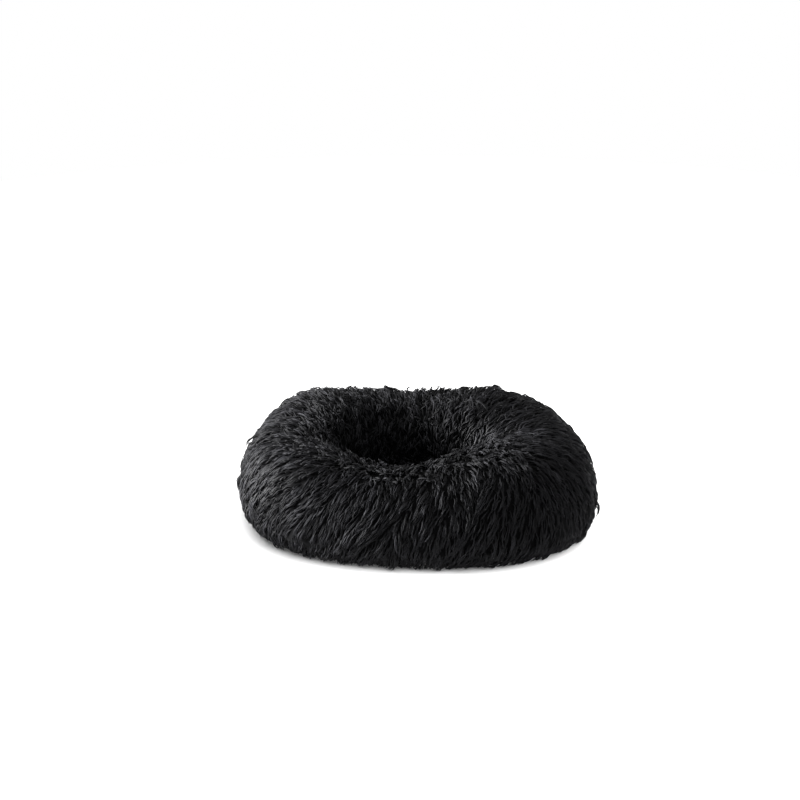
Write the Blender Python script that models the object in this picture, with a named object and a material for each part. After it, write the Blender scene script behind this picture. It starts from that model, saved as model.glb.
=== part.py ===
"""Round shaggy pet bed: a ring bolster and a nest cushion in a zipped fur cover.

Metres, +Z up. The origin is the middle of the base panel's underside, on the floor.
The front of the bed faces -Y. The zip runs round the foot of the cover at the back.
An angle round the bed ("turn") is measured from +X towards +Y. An angle round the
bolster's tube ("tilt") is measured from its outer side, up over the top to the hole.
"""
import math

import bmesh
import bpy
from mathutils import Matrix, Vector

# Driving sizes of the bed, outside the pile
BED_R = 0.298
BED_H = 0.150
HOLE_R = 0.100
HOLE_SHIFT = 0.014
OUTER_EQUATOR_Z = 0.043
INNER_EQUATOR_Z = 0.058
EQUATOR_TILTS_DEG = (60.0, 125.0)
RING_FOOT_Z = 0.0015
BASE_OUTSET = 0.015
FLANK_FULLNESS = 0.85
LIP_FULLNESS = 0.72

# Squarish plan of the stuffed ring: height of each wave, and its count round the bed
PLAN_HEIGHTS = (0.0075, 0.0030, 0.0105)
PLAN_COUNTS = (2, 3, 4)
PLAN_STARTS_DEG = (131.0, 68.0, 45.0)
PLAN_TILTS_DEG = (-60.0, -20.0, 100.0)
PLAN_END_TILT_DEG = 170.0
PLAN_RISE_SHARE = 0.7

# Small soft lumps on it
LUMP_HEIGHTS = (0.0020, 0.0014)
LUMP_COUNTS = (5, 9)
LUMP_STARTS_DEG = (60.0, 15.0)
LUMP_TILTS_DEG = (-35.0, 25.0, 150.0)
SHIFT_TILTS_DEG = (20.0, 120.0, 170.0)

# Thickness of the fur panels, pile and backing together
PILE_SIDE = 0.018
PILE_UNDER = 0.0099
PILE_NEST = 0.012
PILE_NEST_RIM = 0.009

# Cloth, and the air kept between pieces that touch
OXFORD_T = 0.0008
BAG_T = 0.0006
TAPE_T = 0.0006
GAP = 0.0003

# Nest cushion
NEST_UNDERCUT = 0.0231
NEST_RIM_Z = 0.0195
NEST_CROWN = 0.030
CUSHION_CORNER = 0.0016

# Foot of the bolster, where it stands on the base panel
FOOT_SETBACK = 0.0035
FOOT_CORNER = 0.0026
FOOT_LEAN = 0.0005
INNER_FOOT_LEAN = 0.0005

# Seam allowances
TONGUE_T = 0.0024
TONGUE_FOOT_Z = 0.0065
HEM_DEPTH = 0.0080
HEM_FOLD = 0.0030
HEM_FOOT_Z = 0.0005

# Zip: moulded teeth on two tapes
ZIP_Z = 0.0112
ZIP_MIDDLE_DEG = 90.0
TOOTH_COUNT = 84
TOOTH_PITCH = 0.0036
TOOTH_W = 0.0015
TOOTH_T = 0.0024
TOOTH_REACH = 0.0013
TOOTH_CLAMP = 0.0032
TAPE_EDGE = 0.0015
LOWER_TAPE_FOOT = 0.0004
UPPER_TAPE_TOP = 0.0242
TAPE_TAIL = 0.014
SLIDER_HEADROOM = 0.00075
ZIP_EASE_DEG = 14.0

# Zip slider: two plates on a post, with side flanges and a crown for the pull
SLIDER_L = 0.012
SLIDER_PLATE_T = 0.0010
SLIDER_FLANGE_W = 0.0010
SLIDER_SIDE_ROOM = 0.00035
SLIDER_NOSE_SHARE = 0.72
SLIDER_LEAD = 0.0011
POST_L = 0.0030
POST_W = 0.0022
CROWN_W = 0.0020
CROWN_T = 0.0008

# Zip pull
PULL_L = 0.020
PULL_W = 0.0055
PULL_TAIL_W = 0.0044
PULL_T = 0.0011
PULL_BAR = 0.0012
PULL_ARM_W = 0.00105
PULL_WINDOW_L = 0.0046
PULL_HOLE_R = 0.0010

# Stops that keep the slider on the chain
TOP_STOP_L = 0.0022
BOTTOM_STOP_L = 0.0040
BOTTOM_STOP_T = 0.0032
STOP_ROOM = 0.0005
STOP_WALL = 0.0010

# Facets
HALF_SEGMENTS = 28
FUR_TILTS = 16
BAG_TILTS = 10
PANEL_RINGS = 5
ROUND_SEGMENTS = 12
SHARP_DEG = 40.0
OVERRUN = 0.002

# Sizes that follow
FULL_SEGMENTS = 2 * HALF_SEGMENTS
HALF_STEP = math.pi / FULL_SEGMENTS
FACET_EASE = 1 / math.cos(HALF_STEP)
TUBE_MID_R = (BED_R + HOLE_R) / 2
TUBE_HALF_W = (BED_R - HOLE_R) / 2
BASE_R = TUBE_MID_R + BASE_OUTSET
FOOT_R = BASE_R - FOOT_SETBACK
NEST_SEAM_R = HOLE_R + NEST_UNDERCUT
ZIP_R = BASE_R + GAP + TAPE_T / 2
ZIP_HEM_R = (ZIP_R + TAPE_T / 2 + GAP) * FACET_EASE
PLAIN_HEM_R = (BASE_R + GAP) * FACET_EASE
PITCH_ANGLE = TOOTH_PITCH / ZIP_R
CLOSED_ANGLE = math.radians(ZIP_MIDDLE_DEG) - PITCH_ANGLE * TOOTH_COUNT / 2
SLIDER_ANGLE = CLOSED_ANGLE + SLIDER_LEAD / ZIP_R
CHANNEL_HALF_T = TOOTH_T / 2 + GAP
CHANNEL_HALF_W = TOOTH_CLAMP + SLIDER_SIDE_ROOM
SLIDER_HALF_T = CHANNEL_HALF_T + SLIDER_PLATE_T
SLIDER_HALF_W = CHANNEL_HALF_W + SLIDER_FLANGE_W
UNDER_ZIP_Z = ZIP_Z + SLIDER_HALF_W + SLIDER_HEADROOM
TAPE_SLOT_HALF_T = TAPE_T / 2 + GAP
BAR_SWEEP = math.hypot(PULL_BAR, PULL_T) / 2
PULL_OUT = SLIDER_HALF_T + GAP + BAR_SWEEP


def clear_scene():
    for item in list(bpy.data.objects):
        bpy.data.objects.remove(item)


def make_material(name, color, roughness, metallic=0.0):
    material = bpy.data.materials.new(name)
    material.use_nodes = True
    shader = material.node_tree.nodes["Principled BSDF"]
    shader.inputs["Base Color"].default_value = (*color, 1)
    shader.inputs["Roughness"].default_value = roughness
    shader.inputs["Metallic"].default_value = metallic
    return material


def smooth(low, high, value):
    """0 below low, 1 above high, and an even S-curve between them."""
    share = min(max((value - low) / (high - low), 0.0), 1.0)
    return share * share * (3 - 2 * share)


def plateau(marks, last, value):
    """Rises from 0 to 1 between the first two marks, and falls from the third to the last."""
    rise_from, rise_to, fall_from = marks
    return smooth(rise_from, rise_to, value) * (1 - smooth(fall_from, last, value))


def spaced(low, high, count):
    return [low + (high - low) * i / (count - 1) for i in range(count)]


def on_turn(radius, turn, height):
    return Vector((radius * math.cos(turn), radius * math.sin(turn), height))


# The ring's form

class Layer:
    """One skin of the ring: how far it lies inside the pile's face, and its floor over the zip."""

    def __init__(self, side, under, zip_floor):
        self.side = side
        self.under = under
        self.zip_floor = zip_floor
        self.half_w = TUBE_HALF_W - side

    def inset(self, depth):
        return Layer(self.side + depth, self.under + depth, self.zip_floor + depth)

    def reach(self, equator, up):
        """How far the skin reaches above the equator's level, or below it."""
        if up > 0:
            return BED_H - equator - self.side
        return equator - RING_FOOT_Z - self.under


FUR_FACE = Layer(0.0, 0.0, UNDER_ZIP_Z)
FUR_BACK = Layer(PILE_SIDE, PILE_UNDER, UNDER_ZIP_Z + HEM_DEPTH)
BAG_FACE = FUR_BACK.inset(GAP)
BAG_BACK = BAG_FACE.inset(BAG_T)
FILLING_FACE = BAG_BACK.inset(GAP)


def zip_share(turn):
    """1 where the cover makes room for the zip, easing to 0 past both ends of its tapes."""
    middle = math.radians(ZIP_MIDDLE_DEG)
    away = abs((turn - middle + math.pi) % (2 * math.pi) - math.pi)
    tape_end = PITCH_ANGLE * TOOTH_COUNT / 2 + (TAPE_TAIL + SLIDER_L) / ZIP_R
    clear_end = tape_end + 2 * HALF_STEP
    return 1 - smooth(clear_end, clear_end + math.radians(ZIP_EASE_DEG), away)


def waves(heights, counts, starts_deg, turn):
    each = zip(heights, counts, starts_deg)
    return sum(h * math.cos(n * (turn - math.radians(start))) for h, n, start in each)


def swell(turn, tilt_deg):
    """How far the ring stands out sideways and upwards of an even tube."""
    plan = waves(PLAN_HEIGHTS, PLAN_COUNTS, PLAN_STARTS_DEG, turn)
    plan *= plateau(PLAN_TILTS_DEG, PLAN_END_TILT_DEG, tilt_deg)
    lump = waves(LUMP_HEIGHTS, LUMP_COUNTS, LUMP_STARTS_DEG, turn)
    lump *= plateau(LUMP_TILTS_DEG, HIGH_TILT, tilt_deg)
    return plan + lump, plan * PLAN_RISE_SHARE + lump


def ring_point(layer, turn, tilt_deg):
    """A point of the layer, with the ring's swell and its hole set off to one side."""
    tilt = math.radians(tilt_deg)
    out, up = math.cos(tilt), math.sin(tilt)
    if out > 0:
        out = out ** FLANK_FULLNESS
    elif up > 0:
        out = -((-out) ** LIP_FULLNESS)
    wider, higher = swell(turn, tilt_deg)
    equator_rise = INNER_EQUATOR_Z - OUTER_EQUATOR_Z
    equator = OUTER_EQUATOR_Z + equator_rise * smooth(*EQUATOR_TILTS_DEG, tilt_deg)
    radius = TUBE_MID_R + (layer.half_w + wider) * out
    height = equator + (layer.reach(equator, up) + higher) * up
    if out > 0:
        height += zip_share(turn) * max(0.0, layer.zip_floor - height)
    point = on_turn(radius, turn, height)
    point.x -= HOLE_SHIFT * plateau(SHIFT_TILTS_DEG, HIGH_TILT, tilt_deg)
    return point


def tilt_at(layer, radius):
    """The steepness of the layer's underside at this radius, as degrees from level."""
    share = (radius - TUBE_MID_R) / layer.half_w
    if share > 0:
        share = share ** (1 / FLANK_FULLNESS)
    return math.degrees(math.acos(share))


# The back of the fur and all inside it share these tilts, so that their facets stay parallel.
# The swell and the hole's shift die out by the last of them, where the nest is sewn on.
LOW_TILT = -tilt_at(FUR_BACK, ZIP_HEM_R + HEM_FOLD)
HIGH_TILT = 360 - tilt_at(FUR_BACK, NEST_SEAM_R + TONGUE_T)
BAG_TILT_LIST = spaced(LOW_TILT, HIGH_TILT, BAG_TILTS)


def cover_section(turn):
    """The fur panel cut through at one turn: up its back from the hem, and down its face."""
    hem_r = PLAIN_HEM_R + (ZIP_HEM_R - PLAIN_HEM_R) * zip_share(turn)
    first = -tilt_at(FUR_FACE, hem_r)
    last = 360 - tilt_at(FUR_FACE, NEST_SEAM_R)
    face = [ring_point(FUR_FACE, turn, tilt) for tilt in spaced(last, first, FUR_TILTS)]
    face[-1].z += (HEM_FOOT_Z - face[-1].z) * (1 - zip_share(turn))
    back = [ring_point(FUR_BACK, turn, tilt) for tilt in BAG_TILT_LIST]
    hem = [on_turn(hem_r, turn, back[0].z)]
    tongue_radii = (NEST_SEAM_R + TONGUE_T, NEST_SEAM_R)
    tongue = [on_turn(r, turn, TONGUE_FOOT_Z) for r in tongue_radii]
    return hem + back + tongue + face


def bolster_section(layer, depth, turn):
    """The bolster cut through at one turn; depth is how far the layer lies inside the bag's face."""
    arch = [ring_point(layer, turn, tilt) for tilt in BAG_TILT_LIST]
    floor_z = OXFORD_T + GAP + depth
    inner_r = math.hypot(arch[-1].x, arch[-1].y)
    inner_foot = [
        on_turn(inner_r + INNER_FOOT_LEAN, turn, floor_z + FOOT_CORNER),
        on_turn(inner_r + INNER_FOOT_LEAN + FOOT_CORNER, turn, floor_z),
    ]
    outer_foot = [
        on_turn(FOOT_R - depth - FOOT_CORNER, turn, floor_z),
        on_turn(FOOT_R - depth, turn, floor_z + FOOT_CORNER),
        on_turn(FOOT_R - depth + FOOT_LEAN, turn, arch[0].z),
    ]
    return arch + inner_foot + outer_foot


def dome_z(radius, rim_r, rim_z, crown):
    return rim_z + crown * (1 - (radius / rim_r) ** 2)


# Mesh building

def finish(name, mesh_data, material, parent=None, curved=True):
    """Puts the mesh in the scene as a named object with outward faces."""
    bmesh.ops.recalc_face_normals(mesh_data, faces=mesh_data.faces)
    mesh = bpy.data.meshes.new(name)
    mesh_data.to_mesh(mesh)
    mesh_data.free()
    mesh.materials.append(material)
    if curved:
        mesh.shade_smooth()
        mesh.set_sharp_from_angle(angle=math.radians(SHARP_DEG))
    item = bpy.data.objects.new(name, mesh)
    bpy.context.scene.collection.objects.link(item)
    item.parent = parent
    return item


def add_rows(mesh_data, rows):
    return [[mesh_data.verts.new(point) for point in row] for row in rows]


def skin(mesh_data, rows, around, along, left_out=()):
    """Facets between neighbouring rows. Rows close on themselves, or end to end, as told.

    Each four-cornered patch is split the same way, so that nested skins stay parallel.
    """
    last_row = len(rows) if around else len(rows) - 1
    for i in range(last_row):
        row, after = rows[i], rows[(i + 1) % len(rows)]
        last = len(row) if along else len(row) - 1
        for j in range(last):
            if (i, j) not in left_out:
                k = (j + 1) % len(row)
                mesh_data.faces.new((row[j], row[k], after[k]))
                mesh_data.faces.new((row[j], after[k], after[j]))


def bridge_gap(mesh_data, outer, inner, i, j):
    """Walls between two skins round the quad that both leave out."""
    def corners(rows):
        row, after = rows[i], rows[(i + 1) % len(rows)]
        return [row[j], row[j + 1], after[j + 1], after[j]]

    a, b = corners(outer), corners(inner)
    for n in range(4):
        m = (n + 1) % 4
        mesh_data.faces.new((a[n], a[m], b[m], b[n]))


def close_pole(mesh_data, row, height):
    middle = mesh_data.verts.new((0, 0, height))
    for n in range(len(row)):
        mesh_data.faces.new((row[n], row[(n + 1) % len(row)], middle))


def turned_rows(profile):
    """One ring of points for each (radius, height) of the profile."""
    turns = [2 * HALF_STEP * n for n in range(FULL_SEGMENTS)]
    return [[on_turn(r, turn, z) for turn in turns] for r, z in profile]


def extruded(mesh_data, outline, low, high, holes=()):
    """A prism on an outline in the XY plane, with any holes cut through."""
    edges = []
    for loop in (outline, *holes):
        verts = [mesh_data.verts.new((x, y, low)) for x, y in loop]
        pairs = zip(verts, verts[1:] + verts[:1])
        edges += [mesh_data.edges.new(pair) for pair in pairs]
    filled = bmesh.ops.triangle_fill(mesh_data, edges=edges, use_beauty=True)
    faces = [item for item in filled["geom"] if isinstance(item, bmesh.types.BMFace)]
    lifted = bmesh.ops.extrude_face_region(mesh_data, geom=faces, use_keep_orig=True)
    verts = [item for item in lifted["geom"] if isinstance(item, bmesh.types.BMVert)]
    bmesh.ops.translate(mesh_data, verts=verts, vec=(0, 0, high - low))


def block(mesh_data, low, high):
    """A box between two corners."""
    size = [b - a for a, b in zip(low, high)]
    middle = [(a + b) / 2 for a, b in zip(low, high)]
    place = Matrix.Translation(middle) @ Matrix.Diagonal((*size, 1))
    bmesh.ops.create_cube(mesh_data, size=1, matrix=place)


def cutter(name, parent, *boxes):
    """A hidden solid that only shapes another."""
    mesh_data = bmesh.new()
    for low, high in boxes:
        block(mesh_data, low, high)
    item = finish(name, mesh_data, None, parent, curved=False)
    item.hide_render = True
    item.display_type = "WIRE"
    return item


def combine(item, other, operation):
    modifier = item.modifiers.new(other.name, "BOOLEAN")
    modifier.operation = operation
    modifier.object = other


# Cover

def fur_cover(name, start, material):
    """Half of the ring's cover. Its end faces stand half a gap back from the seam plane."""
    turns = [start + 2 * HALF_STEP * n for n in range(HALF_SEGMENTS + 1)]
    rows = [cover_section(turn) for turn in turns]
    side = 1 if start < math.pi / 2 else -1
    for row in (rows[0], rows[-1]):
        for point in row:
            point.y = side * GAP / 2
    mesh_data = bmesh.new()
    rings = add_rows(mesh_data, rows)
    skin(mesh_data, rings, around=False, along=True)
    mesh_data.faces.new(rings[0])
    mesh_data.faces.new(rings[-1])
    return finish(name, mesh_data, material)


def nest_panel(material):
    rim_r = NEST_SEAM_R - GAP
    under_z = NEST_RIM_Z - PILE_NEST_RIM
    under_crown = NEST_CROWN - PILE_NEST + PILE_NEST_RIM
    radii = [rim_r * n / PANEL_RINGS for n in range(1, PANEL_RINGS + 1)]
    top = [(r, dome_z(r, rim_r, NEST_RIM_Z, NEST_CROWN)) for r in radii]
    under = [(r, dome_z(r, rim_r, under_z, under_crown)) for r in reversed(radii)]
    mesh_data = bmesh.new()
    rings = add_rows(mesh_data, turned_rows(top + under))
    skin(mesh_data, rings, around=False, along=True)
    close_pole(mesh_data, rings[0], NEST_RIM_Z + NEST_CROWN)
    close_pole(mesh_data, rings[-1], under_z + under_crown)
    return finish("nest_panel", mesh_data, material)


def base_panel(material):
    """Coated cloth disc, sewn to the cover's hem and to the zip's lower tape at its edge."""
    mesh_data = bmesh.new()
    rings = add_rows(mesh_data, turned_rows([(BASE_R, OXFORD_T), (BASE_R, 0)]))
    skin(mesh_data, rings, around=False, along=True)
    mesh_data.faces.new(rings[0])
    mesh_data.faces.new(rings[-1])
    return finish("base_panel", mesh_data, material)


# Inner bags and their filling

def bolster_skin(mesh_data, layer, depth, left_out=()):
    turns = [2 * HALF_STEP * n for n in range(FULL_SEGMENTS)]
    rings = add_rows(mesh_data, [bolster_section(layer, depth, turn) for turn in turns])
    skin(mesh_data, rings, around=True, along=True, left_out=left_out)
    return rings


def bolster_bag(material):
    """A ring-shaped bag, open at the turning gap that it is stuffed through."""
    spot = (FULL_SEGMENTS // 8, BAG_TILTS + 1)
    mesh_data = bmesh.new()
    outer = bolster_skin(mesh_data, BAG_FACE, 0.0, (spot,))
    inner = bolster_skin(mesh_data, BAG_BACK, BAG_T, (spot,))
    bridge_gap(mesh_data, outer, inner, *spot)
    return finish("bolster_bag", mesh_data, material)


def bolster_filling(material):
    mesh_data = bmesh.new()
    bolster_skin(mesh_data, FILLING_FACE, BAG_T + GAP)
    return finish("bolster_filling", mesh_data, material)


def cushion_profile(depth):
    """Crowned top, drawn-in rim and flat underside, from the top's middle to the underside's."""
    rim_r = NEST_SEAM_R - GAP
    rim_z = NEST_RIM_Z - PILE_NEST_RIM
    crown = NEST_CROWN - PILE_NEST + PILE_NEST_RIM
    floor_z = OXFORD_T + GAP + depth
    edge_r = rim_r - CUSHION_CORNER - depth
    radii = [edge_r * n / (PANEL_RINGS - 1) for n in range(1, PANEL_RINGS)]
    top = [(r, dome_z(r, rim_r, rim_z, crown) - GAP - depth) for r in radii]
    side = [(edge_r + CUSHION_CORNER / 2, (top[-1][1] + floor_z) / 2), (edge_r, floor_z)]
    return top + side + [(edge_r / 2, floor_z)], rim_z + crown - GAP - depth, floor_z


def cushion_skin(mesh_data, depth, left_out=()):
    profile, top_z, floor_z = cushion_profile(depth)
    rings = add_rows(mesh_data, turned_rows(profile))
    skin(mesh_data, rings, around=False, along=True, left_out=left_out)
    close_pole(mesh_data, rings[0], top_z)
    close_pole(mesh_data, rings[-1], floor_z)
    return rings


def cushion_bag(material):
    """The nest's inner bag, open underneath at its turning gap."""
    spot = (PANEL_RINGS, FULL_SEGMENTS // 4)
    mesh_data = bmesh.new()
    outer = cushion_skin(mesh_data, 0.0, (spot,))
    inner = cushion_skin(mesh_data, BAG_T, (spot,))
    bridge_gap(mesh_data, outer, inner, *spot)
    return finish("cushion_bag", mesh_data, material)


def cushion_filling(material):
    mesh_data = bmesh.new()
    cushion_skin(mesh_data, BAG_T + GAP)
    return finish("cushion_filling", mesh_data, material)


# Zip chain

def chain_point(turn, out, up):
    return on_turn(ZIP_R + out, turn, ZIP_Z + up)


def tape_corners(mesh_data, turn, levels, far_too=True):
    """The tape's two faces at one turn, at each level: pairs of outer and inner points."""
    half = TAPE_T / 2
    used = levels if far_too else levels[:-1]
    return [[mesh_data.verts.new(chain_point(turn, w, up)) for w in (half, -half)] for up in used]


def chain_half(name, side, far_edge, first_turn, material):
    """A tape with its moulded teeth, side +1 above the other tape or -1 below it.

    Each tooth is a block that grips the tape's edge. The tape's far edge has one point
    for each tooth, and its near edge has two.
    """
    edge, clamp = side * TAPE_EDGE, side * TOOTH_CLAMP
    tip = -side * TOOTH_REACH
    levels = (edge, clamp, far_edge)
    half_turn = TOOTH_W / 2 / ZIP_R
    tail = TAPE_TAIL / ZIP_R
    mesh_data = bmesh.new()
    make = mesh_data.faces.new

    turn = CLOSED_ANGLE - tail
    start = tape_corners(mesh_data, turn, levels)
    make((start[0][0], start[1][0], start[2][0], start[2][1], start[1][1], start[0][1]))
    before = start
    for n in range(TOOTH_COUNT):
        middle = first_turn + n * PITCH_ANGLE
        sides = []
        for turn in (middle - half_turn, middle + half_turn):
            tape = tape_corners(mesh_data, turn, levels, far_too=turn < middle)
            corners = [(w, up) for up in (clamp, tip) for w in (TOOTH_T / 2, -TOOTH_T / 2)]
            block_ends = [mesh_data.verts.new(chain_point(turn, w, up)) for w, up in corners]
            out_clamp, in_clamp, out_tip, in_tip = block_ends
            make((out_clamp, out_tip, in_tip, in_clamp, tape[1][1], tape[0][1],
                  tape[0][0], tape[1][0]))
            sides.append((tape, block_ends))
        (tape, ends), (tape_after, ends_after) = sides
        # The tooth's outer, inner and tip faces, and the two strips beside the tape
        for a, b in ((0, 2), (1, 3), (2, 3)):
            make((ends[a], ends[b], ends_after[b], ends_after[a]))
        for w in (0, 1):
            make((tape[1][w], ends[w], ends_after[w], tape_after[1][w]))
        # The tape from the tooth before to this one
        make((before[0][0], tape[0][0], tape[0][1], before[0][1]))
        make((before[-1][0], before[-1][1], tape[2][1], tape[2][0]))
        for w in (0, 1):
            hem = [before[-1][w], tape[2][w], tape[1][w], tape[0][w], before[0][w]]
            crossed = [before[1][w]] + ([before[2][w]] if len(before) == 4 else [])
            make(hem + crossed)
        before = [tape_after[0], tape_after[1], tape[1], tape[2]]
    turn = first_turn + (TOOTH_COUNT - 1) * PITCH_ANGLE + half_turn + tail
    end = tape_corners(mesh_data, turn, levels)
    make((before[0][0], end[0][0], end[0][1], before[0][1]))
    make((before[-1][0], before[-1][1], end[2][1], end[2][0]))
    for w in (0, 1):
        make((before[3][w], end[2][w], end[1][w], end[0][w],
              before[0][w], before[1][w], before[2][w]))
    make((end[0][0], end[1][0], end[2][0], end[2][1], end[1][1], end[0][1]))
    return finish(name, mesh_data, material)


# Zip hardware. Its own frame has X out from the bed, Y along the chain towards the
# bottom stop, and Z up across the chain, with its origin in the chain's middle.

def on_chain(name, turn):
    """An empty at the bed's middle and another at the chain, turned to face outwards."""
    axis = bpy.data.objects.new(name + "_axis", None)
    bpy.context.scene.collection.objects.link(axis)
    axis.location = (0, 0, ZIP_Z)
    axis.rotation_euler = (0, 0, turn)
    place = bpy.data.objects.new(name + "_place", None)
    bpy.context.scene.collection.objects.link(place)
    place.parent = axis
    place.location = (ZIP_R, 0, 0)
    return place


def zip_slider(place, material):
    """Cut from one shield-shaped block, with the post and the crown joined on."""
    half_l = SLIDER_L / 2
    nose = SLIDER_HALF_W * SLIDER_NOSE_SHARE + TAPE_EDGE
    outline = [(-half_l, -nose), (-half_l + POST_L, -SLIDER_HALF_W), (half_l, -SLIDER_HALF_W),
               (half_l, SLIDER_HALF_W), (-half_l + POST_L, SLIDER_HALF_W), (-half_l, nose)]
    mesh_data = bmesh.new()
    extruded(mesh_data, outline, -SLIDER_HALF_T, SLIDER_HALF_T)
    upright = Matrix(((0, 0, 1), (1, 0, 0), (0, 1, 0))).to_4x4()
    bmesh.ops.transform(mesh_data, matrix=upright, verts=mesh_data.verts)
    slider = finish("zip_slider", mesh_data, material, place, curved=False)

    long = half_l + OVERRUN
    channel = cutter(
        "slider_channel", place,
        ((-CHANNEL_HALF_T, -long, -CHANNEL_HALF_W), (CHANNEL_HALF_T, long, CHANNEL_HALF_W)),
    )
    slot_w = SLIDER_HALF_W + OVERRUN
    slots = cutter(
        "slider_tape_slot", place,
        ((-TAPE_SLOT_HALF_T, -long, -slot_w), (TAPE_SLOT_HALF_T, long, slot_w)),
    )
    seat = SLIDER_PLATE_T / 2
    post_from = -SLIDER_LEAD - TOOTH_W / 2 - GAP - POST_L
    post = cutter(
        "slider_post", place,
        ((-CHANNEL_HALF_T - seat, post_from, -POST_W / 2),
         (CHANNEL_HALF_T + seat, post_from + POST_L, POST_W / 2)),
    )
    tunnel = BAR_SWEEP + GAP
    crown_l = tunnel + CROWN_T
    crown = cutter(
        "slider_crown", place,
        ((SLIDER_HALF_T - seat, -crown_l, -CROWN_W / 2),
         (PULL_OUT + crown_l, crown_l, CROWN_W / 2)),
    )
    crown_tunnel = cutter(
        "slider_crown_tunnel", place,
        ((SLIDER_HALF_T, -tunnel, -CROWN_W), (PULL_OUT + tunnel, tunnel, CROWN_W)),
    )
    combine(slider, channel, "DIFFERENCE")
    combine(slider, slots, "DIFFERENCE")
    combine(slider, post, "UNION")
    combine(slider, crown, "UNION")
    combine(slider, crown_tunnel, "DIFFERENCE")
    return slider


def arc_points(middle_x, radius, first_deg, last_deg, count):
    angles = spaced(math.radians(first_deg), math.radians(last_deg), count)
    return [(middle_x + radius * math.cos(a), radius * math.sin(a)) for a in angles]


def zip_pull(place, material):
    """A flat tab with a window. The bar beyond the window turns in the slider's crown."""
    hinge = bpy.data.objects.new("zip_pull_axis", None)
    bpy.context.scene.collection.objects.link(hinge)
    hinge.parent = place
    hinge.location = (PULL_OUT, 0, 0)
    half_bar = PULL_BAR / 2
    half_w, tail_r = PULL_W / 2, PULL_TAIL_W / 2
    tail_x = PULL_L - tail_r
    shoulder = half_bar + PULL_WINDOW_L + PULL_ARM_W
    outline = [(-half_bar, -half_w), (shoulder, -half_w)]
    outline += arc_points(tail_x, tail_r, -90, 90, ROUND_SEGMENTS // 2 + 1)
    outline += [(shoulder, half_w), (-half_bar, half_w)]
    window_w = half_w - PULL_ARM_W
    window = [(half_bar, -window_w), (half_bar + PULL_WINDOW_L, -window_w),
              (half_bar + PULL_WINDOW_L, window_w), (half_bar, window_w)]
    step = 360 / ROUND_SEGMENTS
    eye = arc_points(tail_x, PULL_HOLE_R, 0, 360 - step, ROUND_SEGMENTS)
    mesh_data = bmesh.new()
    extruded(mesh_data, outline, -PULL_T / 2, PULL_T / 2, (window, eye))
    upright = Matrix(((0, 0, 1), (1, 0, 0), (0, 1, 0))).to_4x4()
    bmesh.ops.transform(mesh_data, matrix=upright, verts=mesh_data.verts)
    return finish("zip_pull", mesh_data, material, hinge)


def clamp_solid(name, place, half_t, low, high, length, slots, material):
    """A folded metal clamp round one tape edge, or round both."""
    mesh_data = bmesh.new()
    block(mesh_data, (-half_t, -length / 2, low), (half_t, length / 2, high))
    clamp = finish(name, mesh_data, material, place, curved=False)
    long = length / 2 + OVERRUN
    for number, (slot_low, slot_high) in enumerate(slots):
        slot = cutter(
            f"{name}_slot_{number}", place,
            ((-TAPE_SLOT_HALF_T, -long, slot_low), (TAPE_SLOT_HALF_T, long, slot_high)),
        )
        combine(clamp, slot, "DIFFERENCE")
    return clamp


def zip_stops(material):
    edge = TAPE_EDGE - GAP
    root = edge - STOP_WALL
    top_y = SLIDER_L / 2 + STOP_ROOM + TOP_STOP_L / 2
    for name, side in (("zip_top_stop_upper", 1), ("zip_top_stop_lower", -1)):
        place = on_chain(name, SLIDER_ANGLE - top_y / ZIP_R)
        low, high = sorted((side * root, side * TOOTH_CLAMP))
        slot = sorted((side * edge, side * (TOOTH_CLAMP + OVERRUN)))
        clamp_solid(name, place, TOOTH_T / 2, low, high, TOP_STOP_L, [slot], material)
    last_tooth = CLOSED_ANGLE + (TOOTH_COUNT - 0.5) * PITCH_ANGLE
    after = (TOOTH_W / 2 + STOP_ROOM + BOTTOM_STOP_L / 2) / ZIP_R
    place = on_chain("zip_bottom_stop", last_tooth + after)
    slots = [(edge, TOOTH_CLAMP + OVERRUN), (-TOOTH_CLAMP - OVERRUN, -edge)]
    clamp_solid("zip_bottom_stop", place, BOTTOM_STOP_T / 2, -TOOTH_CLAMP, TOOTH_CLAMP,
                BOTTOM_STOP_L, slots, material)


def slider_travel_deg():
    """How far the slider turns about the bed's middle before it meets the bottom stop."""
    chain = (TOOTH_COUNT - 0.5) * TOOTH_PITCH + TOOTH_W / 2 + STOP_ROOM
    return math.degrees((chain - STOP_ROOM - SLIDER_LEAD - SLIDER_L / 2) / ZIP_R)


def build():
    clear_scene()
    fur = make_material("fur", (0.012, 0.012, 0.013), 0.85)
    oxford = make_material("oxford_cloth", (0.016, 0.016, 0.018), 0.7)
    lining = make_material("bag_cloth", (0.72, 0.72, 0.70), 0.9)
    fibre = make_material("polyester_fibre", (0.85, 0.85, 0.84), 1.0)
    nylon = make_material("zip_chain", (0.015, 0.015, 0.016), 0.45)
    enamel = make_material("black_enamel", (0.02, 0.02, 0.021), 0.3)

    fur_cover("cover_back", 0.0, fur)
    fur_cover("cover_front", math.pi, fur)
    nest_panel(fur)
    base_panel(oxford)
    bolster_bag(lining)
    bolster_filling(fibre)
    cushion_bag(lining)
    cushion_filling(fibre)

    upper_far = UPPER_TAPE_TOP - ZIP_Z
    lower_far = LOWER_TAPE_FOOT - ZIP_Z
    chain_half("zip_chain_upper", 1, upper_far, CLOSED_ANGLE, nylon)
    chain_half("zip_chain_lower", -1, lower_far, CLOSED_ANGLE + PITCH_ANGLE / 2, nylon)
    place = on_chain("zip_slider", SLIDER_ANGLE)
    zip_slider(place, enamel)
    zip_pull(place, enamel)
    zip_stops(enamel)
    print(f"slider turns {slider_travel_deg():.2f} degrees from {math.degrees(SLIDER_ANGLE):.2f}")


build()
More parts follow.
